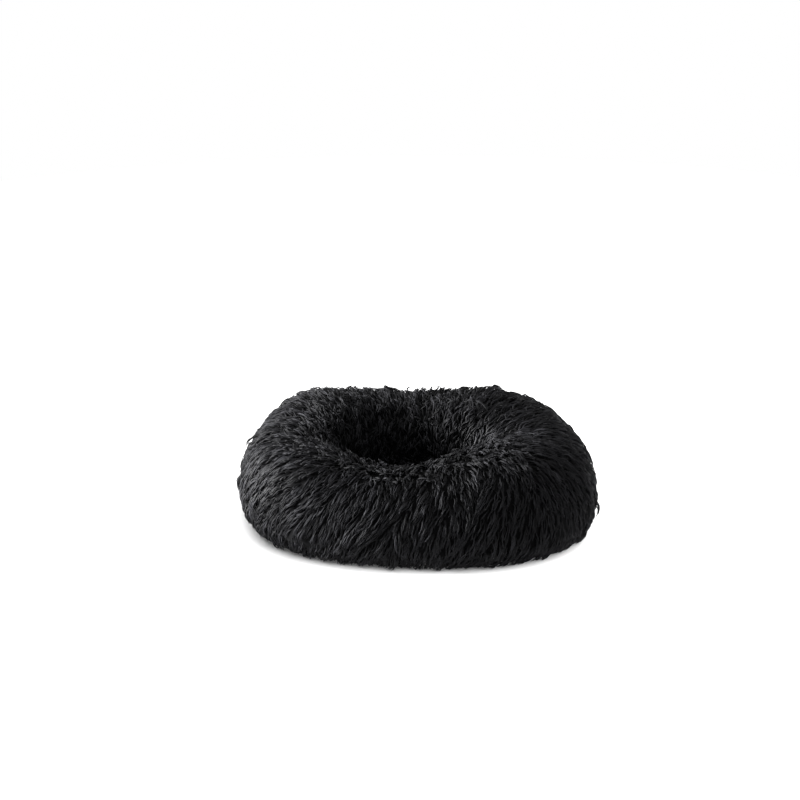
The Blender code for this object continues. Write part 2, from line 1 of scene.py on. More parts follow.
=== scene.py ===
"""Looks of the round shaggy pet bed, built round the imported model.

Metres, in the frame of the model: +Z up, the front of the bed facing -Y.
A turn goes round the bed from +X towards +Y. A tilt goes round the ring's tube, from its
outer side up over the top and down to the nest. The pile is combed the other way, from the
nest up over the top and down the outside.
"""

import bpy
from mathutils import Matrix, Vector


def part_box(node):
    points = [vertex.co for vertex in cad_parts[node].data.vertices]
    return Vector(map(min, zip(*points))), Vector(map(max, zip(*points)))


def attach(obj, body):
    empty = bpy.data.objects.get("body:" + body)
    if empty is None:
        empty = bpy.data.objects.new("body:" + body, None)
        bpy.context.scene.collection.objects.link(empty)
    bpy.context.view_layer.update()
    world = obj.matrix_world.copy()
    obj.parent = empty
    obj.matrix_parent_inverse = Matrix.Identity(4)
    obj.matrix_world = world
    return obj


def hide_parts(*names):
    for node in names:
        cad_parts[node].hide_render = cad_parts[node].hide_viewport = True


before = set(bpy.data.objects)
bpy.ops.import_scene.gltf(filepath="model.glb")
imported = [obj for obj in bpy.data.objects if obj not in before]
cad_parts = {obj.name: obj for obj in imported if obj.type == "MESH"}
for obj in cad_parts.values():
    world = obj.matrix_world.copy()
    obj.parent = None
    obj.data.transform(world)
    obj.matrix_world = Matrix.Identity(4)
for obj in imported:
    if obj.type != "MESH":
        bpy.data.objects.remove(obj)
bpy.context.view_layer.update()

import copy
import math

import bpy
import numpy as np
from mathutils import Vector
from mathutils.bvhtree import BVHTree
from mathutils.kdtree import KDTree

MM = 0.001
FULL_TURN = 2 * math.pi
TINY = 1e-12

# Photograph's view, in its 800-pixel frame
FRAME_PX = 800
VIEW_ELEVATION_DEG = 19.0
VIEW_DISTANCE = 25.0
PX_PER_METRE = 620.0
BED_CENTRE_PX = (418.5, 481.5)
BED_CENTRE_Z = 60 * MM
SENSOR_MM = 36.0

# Studio
FLOOR_R = 1.9
FLOOR_SIDES = 96
FLOOR_GLOW = 0.06
FLOOR_COLOUR = "#e8e8e8"
FLOOR_BOUNCE_COLOUR = "#2e2e2e"
SKY_LEVEL = 0.45
KEY_PLACE = (-2.4, 0.05, 0.85)
KEY_SIZE = 0.9
KEY_WATTS = 300.0
TOP_PLACE = (0.3, 0.9, 2.3)
TOP_SIZE = 1.2
TOP_WATTS = 1.0
FLOOR_SKY_ANGLE_DEG = 140.0
FLOOR_SKY_STRENGTH = 8.5
FLOOR_SKY_FROM = (0.45, 0.10, 1.0)

# The tube's middle circle, from which the cover's face is measured
TUBE_MID_R = 199 * MM
TUBE_MID_Z = 55 * MM
PROBE_REACH = 140 * MM
LOW_TILT_DEG = -68.0
HIGH_TILT_DEG = 205.0
TURN_CELLS = 224
TILT_CELLS = 96
EVEN_PASSES = 3
EVEN_STEPS = (0.7548776662, 0.5698402910)
LEVEL_SHARE = 0.1
NEST_PROBE_Z = 200 * MM
NEST_RINGS = 24
NEST_PROBE_SHARES = (0.02, 0.985)
NEST_PROBE_OFF_SHARE = 0.01

# Backing cloth under the pile
BACKING_DEPTH = 8 * MM
BACKING_EASE = 8 * MM
HEM_HOLD = 14 * MM
HEM_BINS = 120
HEM_Z = 0.5 * MM
HEM_TOP_Z = 30 * MM
HEM_WALL_R = (217 * MM, 222 * MM)
ZIP_MIDDLE_DEG = 90.0
ZIP_HALF_DEG = 44.2
ZIP_SHUT_DEG = 1.0
CLOTH_FRAMES = 20
CLOTH_PRESSURE = 4.0
CLOTH_SHRINK = -0.04
CLOTH_CAP = 2.0 * MM
FREE_EDGE = 12 * MM
FREE_GAIN = 1.6
FREE_EASE = 4 * MM
NEST_SIDE_EASE = 4 * MM
NEST_EDGE_HOLD = 20 * MM
WELD = 0.1 * MM

# Inner bags and their filling
WRINKLE_DEPTH = 1.2 * MM
TUFT_DEPTH = (2.2 * MM, 3.8 * MM)
WRINKLE_WAVES = ((23, 6, 0.4), (31, -9, 1.9), (17, 13, 3.1), (44, 5, 5.0))
TUFT_WAVES = ((9, 4, 0.7), (14, -7, 2.2), (21, 9, 4.0))
CUSHION_EASE = 8 * MM

# Cloths and zip. A wave texture's scale times its period is the first of these.
WAVE_SCALE = FULL_TURN / 20
THREAD_PITCH = 1.5 * MM
BOND_PITCH = 3.0 * MM
TWILL_PITCH = 0.9 * MM
ZIP_Z = 11.2 * MM
TOOTH_EDGE = 3.25 * MM
ENAMEL_BEVEL = 0.15 * MM
BEVEL_ANGLE_DEG = 30.0

# Noise in the finishes: a metre over the number of its lumps
GRAIN_PITCH = 1000 * MM / 420
FLUFF_PITCH = 1000 * MM / 160
TOUCH_PITCH = 1000 * MM / 260

# Pile
RANDOM_SEED = 7
STRING_COUNT = 12000
STRING_L = 41 * MM
STRING_STEPS = 7
STRING_SPREAD = 2.6 * MM
SECTORS_PER_HALF = 5
SIDES = 3
FIRST_SIDE = 0.75
SIDE_SHADE_STEP = 0.012
HAIR_HALF_W = 1.0 * MM
HAIR_FLAT_SHARE = 0.75
HAIR_ROOT_WIDTH = 0.6
HAIR_WIDENING = 1.5
ROOT_DEPTH = 9.5 * MM
LIE = -1.8 * MM
FLOOR_ROOM = 1.0 * MM
TIP_ROOM = 1.3 * MM

# Below, a pair named RANGE holds two limits. A LIE, LIFT or TONE pair is a mean and a spread.
# Headings, turns and tilts are radians where no name says otherwise.

# How a string rises from its root, and how it sways
RISE_SHARE = 0.45
RISE_POWER = 0.8
LIFT_POWER = 2.5
SWAY_L = 21 * MM
SWAY_L_RANGE = (0.8, 1.2)
SWAY_START_SPREAD = 0.8
BEND_RANGE = (0.4, 1.3)

# How strings draw together into locks, some of which stand prouder
PULL_RANGE = (0.5, 1.2)
PULL_POWER = 1.3
MEET_SHARE = 0.3
PROUD_SHARE = 0.12
PROUD_RANGE = (1, 3)
LOCK_TONE_SPREAD = 0.13
LOCK_TONE_LIMITS = (0.05, 0.9)

# How a string splits into hairs
HAIRS_PER_STRING = 3
FOURTH_HAIR_SHARE = 0.3
END_RANGE = (0.76, 1.0)
TRIM_RANGE = (0.94, 1.0)
TOGETHER = 0.68
FRAY_FROM = 0.6
FRAY_WIDTH = 0.9 * MM
LOFT = 1.0 * MM
WIDTH_RANGE = (0.7, 1.3)
HAIR_TONE_SPREAD = 0.10
HAIR_TONE_LIMITS = (0.02, 0.95)

# Waves round the ring, as counts and a size, that turn, sway and shade the pile
WAVE_SKEW = 0.35
LIE_WAVES = ((3, 5, 8, 11, 14, 19, 24), 0.085)
SWAY_WAVES = ((4, 7, 13, 22), 1.0)
TONE_WAVES = ((3, 7, 16, 27), 0.05)

# The long coat, which is shorter and curlier on the inner side
ROOT_SCATTER = (0.010, 0.016)
INNER_TILT = 1.5
INNER_TILT_EASE = 0.55
HEADING_SPREAD = 0.11
INNER_HEADING_SPREAD = 0.55
COMBED_CALM = 0.75
COMBED_FLAT = 0.8
STRING_L_RANGE = (0.72, 1.12)
INNER_SHORTER = 0.45
LIE_SPREAD = 1.2 * MM
INNER_LIE = 1.2 * MM
LIFT = (0.6 * MM, 1.2 * MM)
INNER_LIFT = 3.2 * MM
STRAY_SHARE = 0.10
STRAY_LIFT_RANGE = (1.0 * MM, 3.0 * MM)

# Locks of each layer: strings, how far they draw together, and how proud a lock stands
COAT_LOCKS = (5, 0.55, 1.4 * MM)
TUFT_LOCKS = (4, 0.85, 1.6 * MM)
SKIRT_LOCKS = (2, 0.1, 0.3 * MM)
UNDERCOAT_LOCKS = (3, 0.15, 0.6 * MM)

# Curly tufts on the inner crest
TUFT_COUNT = 850
TUFT_TILT_RANGE = (1.25, 2.3)
TUFT_L = 27 * MM
TUFT_L_RANGE = (0.7, 1.15)
TUFT_HEADING_SPREAD = 0.8
TUFT_LIE = (0.5 * MM, 1.5 * MM)
TUFT_LIFT_RANGE = (4.0 * MM, 9.0 * MM)

# Skirt at the floor, raised over the zip
SKIRT_COUNT = 1700
SKIRT_ROOT_Z_RANGE = (9 * MM, 34 * MM)
SKIRT_RAISE_OVER_ZIP = 24 * MM
SKIRT_L = 38 * MM
SKIRT_L_RANGE = (0.8, 1.1)
SKIRT_LIE = -4.5 * MM
SKIRT_FIRST_TILT_DEG = -30.0
SKIRT_PASSES = 12
SKIRT_LEAN_SHARE = 0.8
SKIRT_HEADING_SPREAD = 0.12

# Undercoat. Its roots lie above the first height, or above the second over the zip.
UNDERCOAT_TRIES = 9000
UNDERCOAT_GAP = 3.2 * MM
UNDERCOAT_ROOT_Z = (14 * MM, 28 * MM)
UNDERCOAT_L = 27 * MM
UNDERCOAT_L_RANGE = (0.8, 1.2)
UNDERCOAT_LIE = -1.5 * MM
UNDERCOAT_LIE_SPREAD = 1.0 * MM
UNDERCOAT_LIFT_RANGE = (0.0, 2.0 * MM)
UNDERCOAT_HEADING_SPREAD = 0.25

# How the pile hangs to the floor, and the room that it leaves over the zip
HANG_SHARE = 0.72
HANG_STEPS = 40
LOWEST_ROOT_Z = 12 * MM
ZIP_EASE_DEG = 14.0
ZIP_LIFT_SHARE = 0.7
ZIP_CLEAR_Z = 17.5 * MM
ZIP_CLEAR_R = 243 * MM
ZIP_CLEAR_DEG = (43.5, 138.0)

# How far the pile leans off straight down the tube, at turns round the ring. Minus is clockwise
# seen from above, which is to the left at the front.
LEAN_TURNS_DEG = (-180.0, -140.0, -100.0, -57.0, -30.0, 0.0, 60.0, 120.0)
LEAN_DEG = (-8.0, -25.0, -27.0, -16.0, 8.0, 10.0, 6.0, -9.0)

# The lean's share at a tilt: the tilt's cosine times this, from 0 to 1
OUTER_GAIN = 1.4

# Where the inner side's pile lies long and straight: turn of the middle, and half width
COMBED_TURN_DEG = 0.0
COMBED_WIDE_DEG = 50.0

# Where the coat stands fuller: turn and tilt of the middle, their half widths, and the height
FULLER_DEG = ((36.0, 48.0, 34.0, 46.0, 8.0 * MM), (-38.0, -30.0, 26.0, 34.0, 4.0 * MM))

NEST_STRING_COUNT = 1300
NEST_STRING_L = 24 * MM
NEST_L_RANGE = (0.7, 1.2)
NEST_ROOT_SHARE = 0.97
NEST_SWIRL = 0.9
NEST_SWIRL_WAVE = (0.5, 3, 30)
NEST_HEADING_SPREAD = 0.5
NEST_LIE = (0.6 * MM, 1.3 * MM)
NEST_LIFT = (1.5 * MM, 1.6 * MM)
NEST_SWAY_RANGE = (0.15, 0.6)
NEST_TONE = (0.4, 0.18)


def select_only(item):
    for other in bpy.context.selected_objects:
        other.select_set(False)
    item.select_set(True)
    bpy.context.view_layer.objects.active = item


def linear(code):
    """An sRGB hex colour as the linear colour that shaders take."""
    values = [int(code[i:i + 2], 16) / 255 for i in (1, 3, 5)]
    return tuple(v / 12.92 if v <= 0.04045 else ((v + 0.055) / 1.055) ** 2.4 for v in values) + (1.0,)


def feed(tree, node, inputs):
    """Gives a node its inputs. Each is a value, or the socket that it is linked from."""
    for name, value in inputs.items():
        if isinstance(value, bpy.types.NodeSocket):
            tree.links.new(value, node.inputs[name])
        else:
            node.inputs[name].default_value = value


def add_node(tree, kind, settings=None, inputs=None):
    """Adds a node with its settings and inputs. A ramp's stops are (place, hex colour) pairs."""
    node = tree.nodes.new(kind)
    for name, value in (settings or {}).items():
        if name == "stops":
            elements = node.color_ramp.elements
            while len(elements) < len(value):
                elements.new(1.0)
            for element, (place, code) in zip(elements, value):
                element.position, element.color = place, linear(code)
        else:
            setattr(node, name, value)
    feed(tree, node, inputs or {})
    return node


def new_material(name, **values):
    """A Principled material with these values on its own sockets. Returns it, its tree and its shader."""
    material = bpy.data.materials.new(name)
    material.use_nodes = True
    shader = material.node_tree.nodes["Principled BSDF"]
    feed(material.node_tree, shader, {socket.replace("_", " "): v for socket, v in values.items()})
    return material, material.node_tree, shader


# Studio

def camera():
    """Looks at the bed as the photograph does: the bed sits below and right of the middle."""
    data = bpy.data.cameras.new("camera")
    data.sensor_width = SENSOR_MM
    data.lens = SENSOR_MM * PX_PER_METRE * VIEW_DISTANCE / FRAME_PX
    item = bpy.data.objects.new("camera", data)
    bpy.context.scene.collection.objects.link(item)
    tilt = math.radians(VIEW_ELEVATION_DEG)
    back = Vector((0, -math.cos(tilt), math.sin(tilt)))
    up = Vector((0, math.sin(tilt), math.cos(tilt)))
    right = Vector((1, 0, 0))
    middle = Vector((0, 0, BED_CENTRE_Z))
    off_right = (BED_CENTRE_PX[0] - FRAME_PX / 2) / PX_PER_METRE
    off_down = (BED_CENTRE_PX[1] - FRAME_PX / 2) / PX_PER_METRE
    aim = middle - right * off_right + up * off_down
    item.location = middle + back * VIEW_DISTANCE
    item.rotation_mode = "QUATERNION"
    item.rotation_quaternion = (item.location - aim).to_track_quat("Z", "Y")
    bpy.context.scene.camera = item


def softbox(name, place, size, watts):
    light = bpy.data.lights.new(name, "AREA")
    light.size = size
    light.energy = watts
    lamp = bpy.data.objects.new(name, light)
    bpy.context.scene.collection.objects.link(lamp)
    lamp.location = place
    lamp.rotation_mode = "QUATERNION"
    lamp.rotation_quaternion = (lamp.location - Vector((0, 0, BED_CENTRE_Z))).to_track_quat("Z", "Y")
    return lamp


def seen_directly(tree):
    """1 for what the camera and reflections see, 0 for light that bounces onto the bed."""
    rays = add_node(tree, "ShaderNodeLightPath")
    seen = add_node(tree, "ShaderNodeMath", {"operation": "MAXIMUM"}, {
        0: rays.outputs["Is Camera Ray"], 1: rays.outputs["Is Glossy Ray"]})
    return seen.outputs["Value"]


def studio():
    """White floor and backdrop, a key light from the left and a weak one from above."""
    material, tree, shader = new_material("matt_white_floor", Roughness=1.0, Specular_IOR_Level=0.0)
    seen = seen_directly(tree)
    colour = add_node(tree, "ShaderNodeMix", {"data_type": "RGBA"}, {
        0: seen, 6: linear(FLOOR_BOUNCE_COLOUR), 7: linear(FLOOR_COLOUR)})
    glow = add_node(tree, "ShaderNodeMath", {"operation": "MULTIPLY"}, {0: seen, 1: FLOOR_GLOW})
    feed(tree, shader, {"Base Color": colour.outputs[2], "Emission Color": (1, 1, 1, 1),
                        "Emission Strength": glow.outputs["Value"]})
    bpy.ops.mesh.primitive_circle_add(vertices=FLOOR_SIDES, radius=FLOOR_R, fill_type="NGON")
    floor = bpy.context.active_object
    floor.name = "studio_floor"
    floor.data.materials.append(material)

    world = bpy.data.worlds.new("white_backdrop")
    bpy.context.scene.world = world
    world.use_nodes = True
    tree = world.node_tree
    level = add_node(tree, "ShaderNodeMapRange", inputs={
        "Value": seen_directly(tree), "To Min": SKY_LEVEL, "To Max": 1.0})
    feed(tree, tree.nodes["Background"], {"Color": (1, 1, 1, 1), "Strength": level.outputs["Result"]})

    on_bed = [softbox("key_softbox", KEY_PLACE, KEY_SIZE, KEY_WATTS),
              softbox("top_softbox", TOP_PLACE, TOP_SIZE, TOP_WATTS)]
    sky = bpy.data.lights.new("floor_skylight", "SUN")
    sky.angle = math.radians(FLOOR_SKY_ANGLE_DEG)
    sky.energy = FLOOR_SKY_STRENGTH
    on_floor = bpy.data.objects.new("floor_skylight", sky)
    bpy.context.scene.collection.objects.link(on_floor)
    on_floor.rotation_mode = "QUATERNION"
    on_floor.rotation_quaternion = Vector(FLOOR_SKY_FROM).to_track_quat("Z", "Y")
    floor_only = bpy.data.collections.new("lit_by_floor_skylight")
    floor_only.objects.link(floor)
    on_floor.light_linking.receiver_collection = floor_only
    not_floor = bpy.data.collections.new("not_lit_by_bed_lamps")
    not_floor.objects.link(floor)
    not_floor.collection_objects[0].light_linking.link_state = "EXCLUDE"
    for lamp in on_bed:
        lamp.light_linking.receiver_collection = not_floor


# Materials

def long_pile_fibre():
    """Polyester shag, drawn and crimped: strings of glossy fibre, no two alike, with painted shade that
    darkens each hair towards its root.
    """
    material, tree, shader = new_material(
        "long_pile_polyester_fibre", Roughness=0.56, Specular_IOR_Level=0.17)
    uv = add_node(tree, "ShaderNodeUVMap", {"uv_map": "OFBake"})
    parts = add_node(tree, "ShaderNodeSeparateXYZ", inputs={"Vector": uv.outputs["UV"]})
    shade = add_node(tree, "ShaderNodeValToRGB", {
        "stops": ((0.0, "#08080a"), (0.55, "#1d1d20"), (1.0, "#3f3f43"))}, {"Fac": parts.outputs["Y"]})
    # Painted shade along each hair, darkest at its root deep in the pile, and a painted sheen towards the
    # tip: full tone from three quarters of its length on.
    rise = add_node(tree, "ShaderNodeMapRange", inputs={
        "Value": parts.outputs["X"], "From Max": 0.75, "To Min": 0.3, "To Max": 1.0})
    tone_with_painted_shade = add_node(tree, "ShaderNodeVectorMath", {"operation": "MULTIPLY"}, {
        0: shade.outputs["Color"], 1: rise.outputs["Result"]})
    feed(tree, shader, {"Base Color": tone_with_painted_shade.outputs["Vector"]})
    return material


def pile_backing():
    """Knitted backing with its short undercoat: deep black between the strings."""
    material, tree, shader = new_material("knitted_backing", Roughness=1.0, Specular_IOR_Level=0.1)
    place = add_node(tree, "ShaderNodeTexCoord").outputs["Object"]
    grain = add_node(tree, "ShaderNodeTexNoise", inputs={
        "Vector": place, "Scale": 1 / GRAIN_PITCH, "Detail": 3.0})
    colour = add_node(tree, "ShaderNodeValToRGB", {
        "stops": ((0.3, "#0a0a0b"), (0.7, "#131314"))}, {"Fac": grain.outputs["Fac"]})
    feed(tree, shader, {"Base Color": colour.outputs["Color"]})
    return material


def coated_oxford():
    """Black polyester oxford, plain woven and coated: a grid of threads with a dull gloss.

    The real threads lie 0.5 mm apart. They are drawn 1.5 mm apart so that they show.
    """
    material, tree, shader = new_material("coated_black_oxford_cloth", Roughness=0.62)
    place = add_node(tree, "ShaderNodeTexCoord").outputs["Object"]
    over = add_node(tree, "ShaderNodeTexChecker", inputs={"Vector": place, "Scale": 1 / THREAD_PITCH})
    warp, weft = (add_node(tree, "ShaderNodeTexWave", {"bands_direction": way}, {
        "Vector": place, "Scale": WAVE_SCALE / THREAD_PITCH}).outputs["Fac"] for way in "XY")
    weave = add_node(tree, "ShaderNodeMix", {"data_type": "FLOAT"}, {
        0: over.outputs["Fac"], 2: warp, 3: weft}).outputs[0]
    colour = add_node(tree, "ShaderNodeValToRGB", {
        "stops": ((0.0, "#09090a"), (1.0, "#1c1c1f"))}, {"Fac": weave})
    bump = add_node(tree, "ShaderNodeBump", inputs={"Height": weave, "Strength": 0.5, "Distance": 0.2 * MM})
    feed(tree, shader, {"Base Color": colour.outputs["Color"], "Normal": bump.outputs["Normal"]})
    return material


def bonded_cloth():
    """Thin white spunbonded cloth of the inner bags: a grid of small pressed bonding points."""
    material, tree, shader = new_material("white_point_bonded_cloth", Roughness=0.85)
    place = add_node(tree, "ShaderNodeTexCoord").outputs["Object"]
    across, along = (add_node(tree, "ShaderNodeTexWave", {"bands_direction": way}, {
        "Vector": place, "Scale": WAVE_SCALE / BOND_PITCH}).outputs["Fac"] for way in "XY")
    dots = add_node(tree, "ShaderNodeMath", {"operation": "MULTIPLY"}, {0: across, 1: along}).outputs["Value"]
    colour = add_node(tree, "ShaderNodeValToRGB", {
        "stops": ((0.6, "#dcdcd8"), (0.9, "#c4c4c0"))}, {"Fac": dots})
    bump = add_node(tree, "ShaderNodeBump", {"invert": True}, {
        "Height": dots, "Strength": 0.4, "Distance": 0.2 * MM})
    feed(tree, shader, {"Base Color": colour.outputs["Color"], "Normal": bump.outputs["Normal"]})
    return material


def loose_fibre():
    """Crimped white polyester filling: soft tufts of fine fibre."""
    material, tree, shader = new_material("crimped_polyester_filling", Roughness=1.0)
    place = add_node(tree, "ShaderNodeTexCoord").outputs["Object"]
    tuft = add_node(tree, "ShaderNodeTexNoise", inputs={
        "Vector": place, "Scale": 1 / FLUFF_PITCH, "Detail": 6.0, "Roughness": 0.7,
        "Distortion": 1.2}).outputs["Fac"]
    colour = add_node(tree, "ShaderNodeValToRGB", {
        "stops": ((0.3, "#d2d2ce"), (0.7, "#f0f0ec"))}, {"Fac": tuft})
    bump = add_node(tree, "ShaderNodeBump", inputs={"Height": tuft, "Strength": 0.6, "Distance": 0.8 * MM})
    feed(tree, shader, {"Base Color": colour.outputs["Color"], "Normal": bump.outputs["Normal"]})
    return material


def zip_material():
    """Black zip chain: smooth acetal teeth along the middle, and twill-woven tape beyond them."""
    material, tree, shader = new_material("acetal_teeth_on_twill_tape")
    place = add_node(tree, "ShaderNodeTexCoord").outputs["Object"]
    height = add_node(tree, "ShaderNodeSeparateXYZ", inputs={"Vector": place}).outputs["Z"]
    off = add_node(tree, "ShaderNodeMath", {"operation": "SUBTRACT"}, {0: height, 1: ZIP_Z})
    away = add_node(tree, "ShaderNodeMath", {"operation": "ABSOLUTE"}, {0: off.outputs["Value"]})
    tape = add_node(tree, "ShaderNodeMath", {"operation": "GREATER_THAN"}, {
        0: away.outputs["Value"], 1: TOOTH_EDGE}).outputs["Value"]
    twill = add_node(tree, "ShaderNodeTexWave", {"bands_direction": "DIAGONAL"}, {
        "Vector": place, "Scale": WAVE_SCALE / TWILL_PITCH}).outputs["Fac"]
    woven = add_node(tree, "ShaderNodeValToRGB", {
        "stops": ((0.0, "#0c0c0d"), (1.0, "#222225"))}, {"Fac": twill})
    colour = add_node(tree, "ShaderNodeMix", {"data_type": "RGBA"}, {
        0: tape, 6: linear("#101012"), 7: woven.outputs["Color"]})
    rough = add_node(tree, "ShaderNodeMapRange", inputs={"Value": tape, "To Min": 0.32, "To Max": 0.8})
    thread = add_node(tree, "ShaderNodeMath", {"operation": "MULTIPLY"}, {0: twill, 1: tape})
    bump = add_node(tree, "ShaderNodeBump", inputs={
        "Height": thread.outputs["Value"], "Strength": 0.5, "Distance": 0.1 * MM})
    feed(tree, shader, {"Base Color": colour.outputs[2], "Roughness": rough.outputs["Result"],
                        "Normal": bump.outputs["Normal"]})
    return material


def black_enamel():
    """Stoved black enamel on cast zinc: an even gloss, slightly dulled where it is handled."""
    material, tree, shader = new_material("stoved_black_enamel", Coat_Weight=0.4, Coat_Roughness=0.12)
    place = add_node(tree, "ShaderNodeTexCoord").outputs["Object"]
    touch = add_node(tree, "ShaderNodeTexNoise", inputs={
        "Vector": place, "Scale": 1 / TOUCH_PITCH, "Detail": 2.0}).outputs["Fac"]
    colour = add_node(tree, "ShaderNodeValToRGB", {
        "stops": ((0.3, "#111113"), (0.7, "#19191b"))}, {"Fac": touch})
    rough = add_node(tree, "ShaderNodeMapRange", inputs={"Value": touch, "To Min": 0.24, "To Max": 0.4})
    feed(tree, shader, {"Base Color": colour.outputs["Color"], "Roughness": rough.outputs["Result"]})
    return material


# The form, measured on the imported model

def solid_tree(names):
    """A search tree over the faces of some CAD nodes."""
    points, faces = [], []
    for name in names:
        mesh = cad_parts[name].data
        start = len(points)
        points += [v.co.copy() for v in mesh.vertices]
        faces += [[start + v for v in p.vertices] for p in mesh.polygons]
    return BVHTree.FromPolygons(points, faces)


def spokes(turn, tilt):
    """Unit vectors from the tube's middle circle outwards."""
    return np.stack([np.cos(tilt) * np.cos(turn), np.cos(tilt) * np.sin(turn), np.sin(tilt)], -1)


class RingFace:
    """The cover's face as a distance from the tube's middle circle, for any turn and tilt."""

    def __init__(self):
        tree = solid_tree(("cover_front", "cover_back"))
        self.low, self.high = math.radians(LOW_TILT_DEG), math.radians(HIGH_TILT_DEG)
        self.tilts = np.linspace(self.low, self.high, TILT_CELLS)
        reach = np.full((TURN_CELLS, TILT_CELLS), np.nan)
        for i in range(TURN_CELLS):
            turn = (i + 0.5) * FULL_TURN / TURN_CELLS
            middle = Vector((TUBE_MID_R * math.cos(turn), TUBE_MID_R * math.sin(turn), TUBE_MID_Z))
            for j, tilt in enumerate(self.tilts):
                out = Vector(spokes(turn, tilt))
                found = tree.ray_cast(middle + out * PROBE_REACH, -out, PROBE_REACH)
                if found[0]:
                    reach[i, j] = PROBE_REACH - found[3]
            known = ~np.isnan(reach[i])
            reach[i] = np.interp(self.tilts, self.tilts[known], reach[i][known])
        for _ in range(EVEN_PASSES):
            reach = (np.roll(reach, 1, 0) + 2 * reach + np.roll(reach, -1, 0)) / 4
            edged = np.pad(reach, ((0, 0), (1, 1)), mode="edge")
            reach = (edged[:, :-2] + 2 * edged[:, 1:-1] + edged[:, 2:]) / 4
        self.reach = reach

    def distance(self, turn, tilt):
        u = (turn / FULL_TURN * TURN_CELLS - 0.5) % TURN_CELLS
        v = np.clip((tilt - self.low) / (self.high - self.low), 0, 1) * (TILT_CELLS - 1)
        i, j = u.astype(int) % TURN_CELLS, np.minimum(v.astype(int), TILT_CELLS - 2)
        a, b = u - np.floor(u), v - j
        k = (i + 1) % TURN_CELLS
        low = self.reach[i, j] * (1 - a) + self.reach[k, j] * a
        high = self.reach[i, j + 1] * (1 - a) + self.reach[k, j + 1] * a
        return low * (1 - b) + high * b

    def point(self, turn, tilt, height):
        """The place at a height over the face, and the way that the face looks there."""
        out = spokes(turn, tilt)
        middle = np.stack([TUBE_MID_R * np.cos(turn), TUBE_MID_R * np.sin(turn),
                           np.full_like(turn, TUBE_MID_Z)], -1)
        return middle + out * (self.distance(turn, tilt) + height)[:, None], out

    def hanging(self):
        """The face of the pile, which hangs from the widest part to the floor, and less over the zip."""
        face = copy.copy(self)
        face.reach = self.reach.copy()
        out, up = np.cos(self.tilts), np.sin(self.tilts)
        down = np.maximum(-up, LEVEL_SHARE)
        floor_reach = np.where(up < -LEVEL_SHARE, (TUBE_MID_Z - FLOOR_ROOM) / down, PROBE_REACH)
        for i in range(TURN_CELLS):
            hang = 1 - ZIP_LIFT_SHARE * zip_share((i + 0.5) * FULL_TURN / TURN_CELLS)
            radius = TUBE_MID_R + self.reach[i] * out
            widest = int(np.argmax(radius))
            top_z = TUBE_MID_Z + self.reach[i, widest] * up[widest]
            fall = np.linspace(0, 1, HANG_STEPS)
            level = top_z + (FLOOR_ROOM - top_z) * fall
            away = (radius[widest] - TUBE_MID_R) * (1 - (1 - HANG_SHARE) * fall ** 2)
            wall_tilt = np.arctan2(level - TUBE_MID_Z, away)[::-1]
            wall = np.interp(self.tilts, wall_tilt, np.hypot(level - TUBE_MID_Z, away)[::-1])
            wall = np.where(self.tilts < wall_tilt[0], floor_reach, wall)
            wall = np.where(self.tilts < self.tilts[widest], np.maximum(wall, self.reach[i]), self.reach[i])
            face.reach[i] += hang * (wall - self.reach[i])
        return face

    def spread(self, count):
        """Turns and tilts of points spread evenly over the face's area."""
        mean = self.reach.mean(0)
        radius = TUBE_MID_R + mean * np.cos(self.tilts)
        height = TUBE_MID_Z + mean * np.sin(self.tilts)
        strip = np.hypot(np.diff(radius), np.diff(height)) * (radius[1:] + radius[:-1]) / 2
        share = np.concatenate([[0], np.cumsum(strip)])
        first, second = even_pairs(count)
        return FULL_TURN * first, np.interp(second, share / share[-1], self.tilts)


def zip_share(turn):
    """1 over the zip, where the pile is held up, easing to 0 past its ends."""
    low, high = ZIP_CLEAR_DEG
    away = abs(math.degrees(turn) - (low + high) / 2) - (high - low) / 2
    return 1 - min(max(away / ZIP_EASE_DEG, 0.0), 1.0)


def even_pairs(count):
    """Pairs of numbers from 0 to 1 that fill the square evenly, with no rows."""
    number = np.arange(1, count + 1)
    first, second = EVEN_STEPS
    return (number * first) % 1, (number * second) % 1


# Pile

